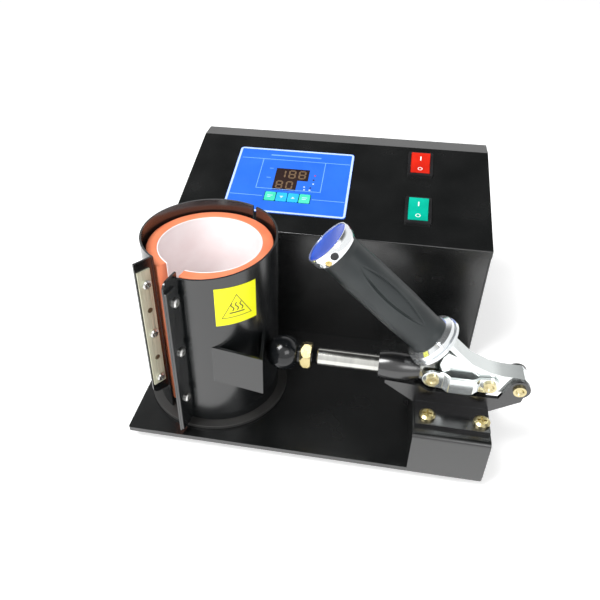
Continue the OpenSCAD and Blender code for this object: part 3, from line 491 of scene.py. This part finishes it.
def round_rect(x, y, w, d, r):
    """The outline of a rectangle with rounded corners."""
    out = []
    right, left, top, bottom = x + w - r, x + r, y + d - r, y + r
    for cx, cy, start in ((right, top, 0), (left, top, 90), (left, bottom, 180), (right, bottom, 270)):
        for i in range(CORNER_STEPS + 1):
            a = math.radians(start + 90 * i / CORNER_STEPS)
            out.append((cx + r * math.cos(a), cy + r * math.sin(a)))
    return out


def circle(r, steps):
    angles = [2 * math.pi * i / steps for i in range(steps)]
    return [(r * math.cos(a), r * math.sin(a)) for a in angles]


def lathe(bm, profile, to_world, steps=96):
    """Turns (distance along the axis, radius) pairs in mm about a frame's X axis."""
    rows = []
    for i in range(steps):
        a = 2 * math.pi * i / steps
        rows.append([to_world @ (Vector((t, r * math.cos(a), r * math.sin(a))) * MM) for t, r in profile])
    return grid(bm, rows, closed_u=True)


def on_panel(x, s, h):
    """A point on the blue membrane: mm from its lower left corner, h above the panel."""
    return PANEL @ (Vector((x, s, h)) * MM)


# ---------------------------------------------------------------- heater

RING_STEP = 1.5
EDGE_STEPS = 4
END_INSET = 0.999


def sleeve(name, r_in, r_out, z_lo, z_hi, edge, material):
    """An open ring round the heater with rounded edges, in one piece from one end to the other."""
    profile = []
    for cr, cz, start in ((r_out - edge, z_hi - edge, 0), (r_in + edge, z_hi - edge, 90),
                          (r_in + edge, z_lo + edge, 180), (r_out - edge, z_lo + edge, 270)):
        for i in range(EDGE_STEPS + 1):
            a = math.radians(start + 90 * i / EDGE_STEPS)
            profile.append((cr + edge * math.cos(a), cz + edge * math.sin(a)))
    count = round((MAT_END - MAT_START) / RING_STEP)
    bm = bmesh.new()
    rows = []
    for i in range(count + 1):
        inset = 1 if 0 < i < count else END_INSET
        a = math.radians(MAT_START + (MAT_END - MAT_START) * i / count)
        mid_r, mid_z = (r_in + r_out) / 2, (z_lo + z_hi) / 2
        row = []
        for r, z in profile:
            r = mid_r + (r - mid_r) * inset
            z = mid_z + (z - mid_z) * inset
            row.append(Vector((HEATER.x + r * math.cos(a), HEATER.y + r * math.sin(a), z)))
        rows.append(row)
    verts = grid(bm, rows, closed_v=True)
    bm.faces.new(verts[0])
    bm.faces.new(list(reversed(verts[-1])))
    return piece(name, bm, material, None)


MAT_NODES = ("mat_rear", "mat_front")
LINER_NODES = ("liner_rear", "liner_front")
GLUE = 0.02 * MM  # the gap that keeps the lining's outer face off the mat's inner one
for name, r_in, r_out, drop, rim, material, stands_for, slot_name in (
    ("heater_mat", LINER_OUT, MAT_OUT, 0.0, 0.9, SILICONE, MAT_NODES, "silicone_orange"),
    ("mat_lining", LINER_IN, LINER_OUT - GLUE, 0.3, 0.3, LINER, LINER_NODES, "liner_white"),
):
    ring = sleeve(name, r_in, r_out, MAT_LO.z, MAT_HI.z - drop * MM, rim * MM, material)
    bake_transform(ring)
    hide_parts(*stands_for)

# ---------------------------------------------------------------- label

LABEL_LO, LABEL_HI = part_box("heat_label")
LABEL_AZ = math.radians((287.6 + 323.2) / 2)
LABEL_Z = (LABEL_LO.z + LABEL_HI.z) / 2
LABEL_THICK = 0.3 * MM
LABEL_R = SHELL_R + LABEL_THICK


def on_label(x, y, h):
    """A point on the label: mm to the right and up from its middle, h above its surface."""
    a = LABEL_AZ + x * MM / LABEL_R
    r = LABEL_R + h * MM
    return Vector((HEATER.x + r * math.cos(a), HEATER.y + r * math.sin(a), LABEL_Z + y * MM))


def divide(line, closed=False):
    """Points at most a millimetre apart along a line, so that it follows a curved surface."""
    out = []
    n = len(line)
    for i in range(n if closed else n - 1):
        (x0, y0), (x1, y1) = line[i], line[(i + 1) % n]
        count = max(1, math.ceil(math.hypot(x1 - x0, y1 - y0)))
        out += [(x0 + (x1 - x0) * k / count, y0 + (y1 - y0) * k / count) for k in range(count)]
    return out if closed else out + [line[-1]]


TRIANGLE = [(-11.8, -10.2), (11.8, -10.2), (0, 9.6)]
WAVE_STEPS, WAVE_SWING, WAVE_FOOT, WAVE_RISE = 14, 1.1, -4.6, 7.2
bm = bmesh.new()
band(bm, divide(TRIANGLE, closed=True), 0.55, on_label, 0.0, PRINT, closed=True)
for x in (-3.6, 0.0, 3.6):
    wave = []
    for i in range(WAVE_STEPS + 1):
        u = i / WAVE_STEPS
        wave.append((x + WAVE_SWING * math.sin(u * 2 * math.pi), WAVE_FOOT + WAVE_RISE * i / WAVE_STEPS))
    band(bm, wave, 0.95, on_label, 0.0, PRINT)
band(bm, divide([(-6.0, -6.3), (6.0, -6.3)]), 1.1, on_label, 0.0, PRINT)
piece("label_mark", bm, INK, "front_half", smooth=False)

# ---------------------------------------------------------------- stainless strip's weld spots, dark with painted shade

STRIP_DIR = Vector((math.cos(math.radians(STRIP_AZ)), math.sin(math.radians(STRIP_AZ)), 0))
STRIP_OUT = Vector((-STRIP_DIR.y, STRIP_DIR.x, 0))
STRIP_THICK = 1.2 * MM
STRIP_FOOT = Vector((HEATER.x, HEATER.y, BASE_HI.z)) + STRIP_OUT * STRIP_THICK
STRIP = frame_from(STRIP_FOOT, STRIP_DIR, STRIP_OUT)


def on_strip(x, z, h):
    """A point on the stainless strip: mm out from the heater's axis and up from the base."""
    return STRIP @ (Vector((x, 0, h)) * MM) + Vector((0, 0, z * MM))


SPOT_OUT = 60.8
SPOT_HEIGHTS = (65.0, 112.0)
SPOT_RINGS = ((2.3, 0.0), (2.1, 0.14), (1.3, 0.10), (0.4, 0.02))  # radius, height above the strip
bm = bmesh.new()
for z in SPOT_HEIGHTS:
    rings = []
    for r, h in SPOT_RINGS:
        rings.append([on_strip(SPOT_OUT + x, z + y, h) for x, y in circle(r, 20)])
    verts = grid(bm, rings, closed_v=True)
    bm.faces.new(verts[-1])
piece("strip_weld_spots", bm, WELD_SPOT_SHADE, "root")

# ---------------------------------------------------------------- rounded bend of the top sheet

sheet = [NODES["top_panel"].matrix_world @ v.co for v in NODES["top_panel"].data.vertices]
lip_y = min(p.y for p in sheet)
lip = [p for p in sheet if p.y < lip_y + 0.01 * MM]
BEND_R = 0.5
BEND_OUT = 0.1  # how far the rounded bend stands out from the sheet
inner_r = BEND_R - BEND_OUT
sink = inner_r * MM
drop = sink * (1 - math.sin(SLOPE)) / math.cos(SLOPE)
bend_at = Vector((min(p.x for p in lip), lip_y + sink, max(p.z for p in lip) - drop))
bend_frame = frame_from(bend_at, (1, 0, 0), (0, 0, 1))
bend_len = (max(p.x for p in lip) - bend_at.x) / MM
bm = bmesh.new()
profile = [(0.0, inner_r), (BEND_OUT, BEND_R), (bend_len - BEND_OUT, BEND_R), (bend_len, inner_r)]
verts = lathe(bm, profile, bend_frame, 32)
for end in (0, -1):
    bm.faces.new([row[end] for row in verts])
piece("panel_bend", bm, BLACK, "root")

# ---------------------------------------------------------------- panel print

BORDER_IN, BORDER_R, BORDER_W = 1.2, 2.4, 2.0
bm = bmesh.new()
border = round_rect(BORDER_IN, BORDER_IN, PANEL_W - 2 * BORDER_IN, PANEL_D - 2 * BORDER_IN, BORDER_R)
band(bm, border, BORDER_W, on_panel, FILM, FILM + PRINT, True)
piece("panel_border", bm, PALE_FILM, "root", smooth=False)

# Printed lines, in mm from the membrane's lower left corner
RULES = (
    ((4.5, 74.5), (112.5, 74.5)),
    ((26.3, 74.5), (26.3, 32.0), (88.5, 32.0), (88.5, 74.5)),
    ((3.0, 21.4), (34.4, 21.4)),
    ((82.0, 21.4), (112.5, 21.4)),
    ((34.8, 61.0), (38.6, 61.0)),
    ((34.0, 47.5), (38.0, 47.5)),
)
RULE_W, RULE_H = 0.7, 0.05
bm = bmesh.new()
for rule in RULES:
    band(bm, rule, RULE_W, on_panel, FILM, FILM + RULE_H)
slab(bm, round_rect(32.6, 80.2, 50.8, 1.5, 0.7), on_panel, FILM, FILM + RULE_H)
piece("panel_rules", bm, FAINT_FILM, "root", smooth=False)

SEGMENTS = {"0": "abcdef", "1": "bc", "8": "abcdefg"}
SEGMENT_GAP = 0.15
DIGIT_LOW, DIGIT_HIGH = FILM - 0.1, FILM - 0.02


def digit(bm, text, x, s, w, h, t):
    """A seven-segment digit as pointed bars, sunk a little under the film's face."""
    bars = {
        "a": ((x + t, s + h - t / 2), (x + w - t, s + h - t / 2)),
        "b": ((x + w - t / 2, s + h - t), (x + w - t / 2, s + h / 2 + t / 2)),
        "c": ((x + w - t / 2, s + t), (x + w - t / 2, s + h / 2 - t / 2)),
        "d": ((x + t, s + t / 2), (x + w - t, s + t / 2)),
        "e": ((x + t / 2, s + t), (x + t / 2, s + h / 2 - t / 2)),
        "f": ((x + t / 2, s + h - t), (x + t / 2, s + h / 2 + t / 2)),
        "g": ((x + t, s + h / 2), (x + w - t, s + h / 2)),
    }
    for key in SEGMENTS[text]:
        (x0, y0), (x1, y1) = bars[key]
        along = Vector((x1 - x0, y1 - y0)).normalized()
        reach = t / 2 - SEGMENT_GAP
        side = Vector((-along.y, along.x)) * reach
        a, b = Vector((x0, y0)), Vector((x1, y1))
        ends = [a - along * reach, a + side, b + side, b + along * reach, b - side, a - side]
        slab(bm, [tuple(p) for p in ends], on_panel, DIGIT_LOW, DIGIT_HIGH)


# Each row's digits, left end, foot, pitch, and the digits' width, height and bar thickness
DIGIT_ROWS = (("188", 44.6, 48.2, 9.9, 7.6, 12.0, 1.9), ("80", 44.2, 32.8, 9.8, 7.2, 11.6, 1.8))
bm = bmesh.new()
for figures, left, foot, pitch, w, h, t in DIGIT_ROWS:
    for i, figure in enumerate(figures):
        digit(bm, figure, left + i * pitch, foot, w, h, t)
piece("panel_digits", bm, DIGITS, "root", smooth=False)

LAMP_RINGS = ((0.95, 0), (0.9, 0.18), (0.5, 0.28))  # radius, height above the film
for name, material, spots in (
    ("panel_lamps_red", LAMP_RED, ((80.6, 54.6),)),
    ("panel_lamps_dark", WINDOW, ((79.9, 48.4), (78.4, 37.2))),
    ("panel_lamps_pale", PALE_FILM, ((80.3, 42.8), (72.4, 37.6), (72.8, 33.9), (78.0, 33.9))),
):
    bm = bmesh.new()
    for x, s in spots:
        rings = [
            [on_panel(x + px, s + py, FILM + h) for px, py in circle(r, 16)]
            for r, h in LAMP_RINGS
        ]
        verts = grid(bm, rings, closed_v=True)
        bm.faces.new(verts[-1])
    piece(name, bm, material, "root")


def key_mark(name, outlines):
    """A raised print on a key's cap, centred on its upper face."""
    top = frame_from(centre(name), (1, 0, 0), PANEL_N)
    corners = [top.inverted() @ v.co / MM for v in NODES[name].data.vertices]
    height = max(c.z for c in corners)
    upper = [c.y for c in corners if c.z > height - 1]
    middle = (max(upper) + min(upper)) / 2

    def place(x, y, h):
        return top @ (Vector((x, y + middle, height + h)) * MM)

    bm = bmesh.new()
    for outline in outlines:
        slab(bm, outline, place, 0.0, RULE_H)
    piece(name + "_mark", bm, PALE_FILM, name, smooth=False)


key_mark("temp_key", [round_rect(-2.6, 0.7, 5.2, 0.9, 0.4), round_rect(-2.6, -1.4, 3.4, 0.9, 0.4)])
key_mark("time_key", [[(-1.9, 1.2), (0, -1.7), (1.9, 1.2)]])
key_mark("up_key", [[(-1.9, -1.4), (1.9, -1.4), (0, 1.5)]])
key_mark("down_key", [round_rect(-2.6, 0.7, 5.2, 0.9, 0.4), round_rect(-2.6, -1.4, 4.2, 0.9, 0.4)])

# ---------------------------------------------------------------- rocker marks

REST_TILT = math.radians(9)
# A rocker's face is a shallow V: each half rises outwards from its fold, ROCKER_LOW above the pivot
ROCKER_RISE = math.atan2(3.0, 13.4)
ROCKER_LOW = 2.2
MARK_OUT = 6.6
for colour in ("red", "green"):
    pivot = Vector(JOINTS[colour + "_rocker_tilt"]["pos_m"])
    seat = frame_from(pivot, (1, 0, 0), PANEL_N) @ Matrix.Rotation(REST_TILT, 4, "X")
    for half, shape in ((1, "bar"), (-1, "ring")):
        face = seat @ Matrix.Translation((0, 0, ROCKER_LOW * MM))
        face = face @ Matrix.Rotation(half * ROCKER_RISE, 4, "X")

        def place(x, y, h, face=face, half=half):
            return face @ (Vector((x, half * MARK_OUT + y, h)) * MM)

        bm = bmesh.new()
        if shape == "bar":
            slab(bm, round_rect(-0.55, -2.2, 1.1, 4.4, 0.4), place, 0.0, PRINT)
        else:
            band(bm, circle(2.0, 28), 0.7, place, 0.0, PRINT, closed=True)
        mark = f"{colour}_{shape}_mark"
        piece(mark, bm, WHITE_MARK, f"{colour}_rocker", smooth=False)

# ---------------------------------------------------------------- rubber grip

LEAF_T0, LEAF_T1 = 24.0, 93.5
LEAF_HALF = math.radians(21)
LEAF_COUNT = 4
LEAF_FIRST = math.radians(50)
LEAF_DEPTH = 1.35
RIDGE = 0.45
GRIP_R, CROWN, CUFF = 14.9, 1.05, 0.9
LEAF_R = 15.5


def smoothstep(value, low, high):
    u = min(1, max(0, (value - low) / (high - low)))
    return u * u * (3 - 2 * u)


def grip_radius(t, angle):
    """Grip surface: a shallow crown, a raised cuff at each end and leaf-shaped hollows round it."""
    u = (t - GRIP_T0) / (GRIP_T1 - GRIP_T0)
    radius = GRIP_R + CROWN * math.sin(math.pi * u) ** 0.8
    radius += CUFF * (smoothstep(u, 0.06, 0.0) + smoothstep(u, 0.93, 1.0))
    v = (t - LEAF_T0) / (LEAF_T1 - LEAF_T0)
    if 0 < v < 1:
        half = LEAF_HALF * math.sin(math.pi * v ** 0.92) ** 0.75
        step = 2 * math.pi / LEAF_COUNT
        off = (angle - LEAF_FIRST + step / 2) % step - step / 2
        inside = (half - abs(off)) * LEAF_R
        taper = min(1.0, 4 * v, 4 * (1 - v))
        groove = LEAF_DEPTH * math.exp(-(((inside - 0.55) / 0.55) ** 2)) * taper
        ridge = RIDGE * math.exp(-(((inside + 0.6) / 0.5) ** 2)) * taper
        radius += ridge - groove
    return radius


def on_handle(t, a, r):
    """A point round the handle's axis: mm from its outer end, an angle and a radius in mm."""
    return HANDLE @ (Vector((t, r * math.cos(a), r * math.sin(a))) * MM)


ROD_HOLE = 5.6
T_STEPS, A_STEPS = 200, 240
bm = bmesh.new()
rows = []
for i in range(T_STEPS + 1):
    t = GRIP_T0 + (GRIP_T1 - GRIP_T0) * i / T_STEPS
    rows.append([])
    for j in range(A_STEPS):
        a = 2 * math.pi * j / A_STEPS
        r = grip_radius(t, a)
        rows[-1].append(on_handle(t, a, r))


def rod_ring(t):
    return [on_handle(t, 2 * math.pi * j / A_STEPS, ROD_HOLE) for j in range(A_STEPS)]


rows = [rod_ring(GRIP_T0)] + rows + [rod_ring(GRIP_T1)]
verts = grid(bm, rows, closed_v=True)
bm.faces.new(verts[0])
bm.faces.new(list(reversed(verts[-1])))
grip = piece("grip_moulding", bm, GRIP, "handle")
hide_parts("rubber_grip")

# ---------------------------------------------------------------- end disc and grub screw

bm = bmesh.new()
DISC_R, DISC_FACE, DISC_CROWN = 16.6, 0.14, 0.1
profile = [(1.1, 17.05), (0.42, 17.0), (DISC_FACE, DISC_R)]
profile += [(DISC_FACE - DISC_CROWN * (1 - (r / DISC_R) ** 2), r) for r in (14, 11, 8, 5, 2.5, 0.6)]
verts = lathe(bm, profile, HANDLE)
bm.faces.new([row[-1] for row in verts])
bm.faces.new([row[0] for row in verts])
piece("end_disc_blue", bm, DISC_BLUE, "handle")

# The cap's radius is CAP_R at CAP_T, and grows by CAP_FLARE over a CAP_RUN towards its outer end
CAP_R = 18.2
CAP_T, CAP_FLARE, CAP_RUN = 6.6, 0.4, 4.5


def on_cap(t, angle, x, y, h):
    """A point on the chrome cap's side: mm along and round it from a spot, h above its surface."""
    a = math.radians(angle) + y / CAP_R
    r = CAP_R + CAP_FLARE * (CAP_T - t - x) / CAP_RUN + h
    return on_handle(t + x, a, r)


# Radius and height of each ring, from the rim inwards
SCREW_RINGS = ((2.3, -0.4), (2.3, 0.12), (1.9, 0.22), (1.0, 0.22), (0.9, 0.0), (0.3, 0.0))
HOLE_RINGS = ((2.9, -0.4), (2.9, 0.06), (2.5, 0.12), (2.3, 0.03), (0.5, 0.03))
for name, material, t, angle, rings in (
    ("cap_grub_screw", BRASS, 6.9, 97, SCREW_RINGS),
    ("cap_screw_hole", SWITCH, 5.6, 75, HOLE_RINGS),
# The screw hole is not cut: its flat black face is painted shade for the hole's dark inside
):
    bm = bmesh.new()
    rows = [[on_cap(t, angle, x, y, h) for x, y in circle(r, 28)] for r, h in rings]
    verts = grid(bm, rows, closed_v=True)
    bm.faces.new(verts[-1])
    piece(name, bm, material, "handle")

# ---------------------------------------------------------------- stage, light, camera

floor_mat = Paint("floor_pale", emission=(1, 1, 1), glow=0.4)
floor_mat.tint((0.88, 0.88, 0.88), (0.90, 0.90, 0.90), 3)
floor_mat.gloss(0.7, 0.8, 4)
bm = bmesh.new()
bmesh.ops.create_circle(bm, cap_ends=True, radius=9.0, segments=96)
floor = piece("floor", bm, floor_mat.mat, None)


def studio(front, back):
    """A bright room in front and near the horizon, and a darker ceiling behind the object."""
    world = bpy.data.worlds.new("studio")
    world.use_nodes = True
    tree = world.node_tree
    tree.nodes["Background"].inputs["Color"].default_value = (1, 1, 1, 1)
    split = tree.nodes.new("ShaderNodeSeparateXYZ")
    tree.links.new(tree.nodes.new("ShaderNodeTexCoord").outputs["Generated"], split.inputs["Vector"])
    parts = []
    for out, low, high in (("Z", 0.78, 0.44), ("Y", -0.22, -0.42)):
        ramp = tree.nodes.new("ShaderNodeMapRange")
        ramp.interpolation_type = "SMOOTHSTEP"
        set_range(ramp, low, high, back, front)
        tree.links.new(split.outputs[out], ramp.inputs["Value"])
        parts.append(ramp.outputs["Result"])
    most = tree.nodes.new("ShaderNodeMath")
    most.operation = "MAXIMUM"
    for part, socket in zip(parts, most.inputs):
        tree.links.new(part, socket)
    tree.links.new(most.outputs["Value"], tree.nodes["Background"].inputs["Strength"])
    return world


scene = bpy.context.scene
scene.world = studio(0.95, 0.04)
scene.view_settings.view_transform = "Standard"


def area(name, where, towards, size, power):
    light = bpy.data.lights.new(name, "AREA")
    light.shape = "RECTANGLE"
    light.size, light.size_y = size
    light.energy = power
    obj = bpy.data.objects.new(name, light)
    scene.collection.objects.link(obj)
    obj.location = where
    obj.rotation_euler = (Vector(towards) - Vector(where)).to_track_quat("-Z", "Y").to_euler()


area("key", (-0.75, -0.6, 1.7), (0, 0, 0.05), (0.8, 0.8), 34)
area("fill", (0.9, -1.4, 1.2), (0, 0, 0.08), (0.9, 0.7), 8)

# Solved from the straight edges of the base plate, the box and the clamp's post
CAMERA_AT = at(186.1, -316.7, 393.5)
YAW, PITCH, ROLL = (math.radians(v) for v in (-10.21, -35.63, 0.09))
camera_data = bpy.data.cameras.new("camera")
camera_data.sensor_width = 36
camera_data.lens = 36.46
camera_data.shift_x = 0.0333
camera_data.shift_y = -0.025
camera_data.clip_start = 0.01
camera = bpy.data.objects.new("camera", camera_data)
scene.collection.objects.link(camera)
forward = Vector((math.sin(YAW) * math.cos(PITCH), math.cos(YAW) * math.cos(PITCH), math.sin(PITCH)))
right = forward.cross(Vector((0, 0, 1))).normalized()
up = right.cross(forward)
right_r = right * math.cos(ROLL) + up * math.sin(ROLL)
up_r = up * math.cos(ROLL) - right * math.sin(ROLL)
turn = Matrix((right_r, up_r, -forward)).transposed().to_4x4()
camera.matrix_world = Matrix.Translation(CAMERA_AT) @ turn
scene.camera = camera
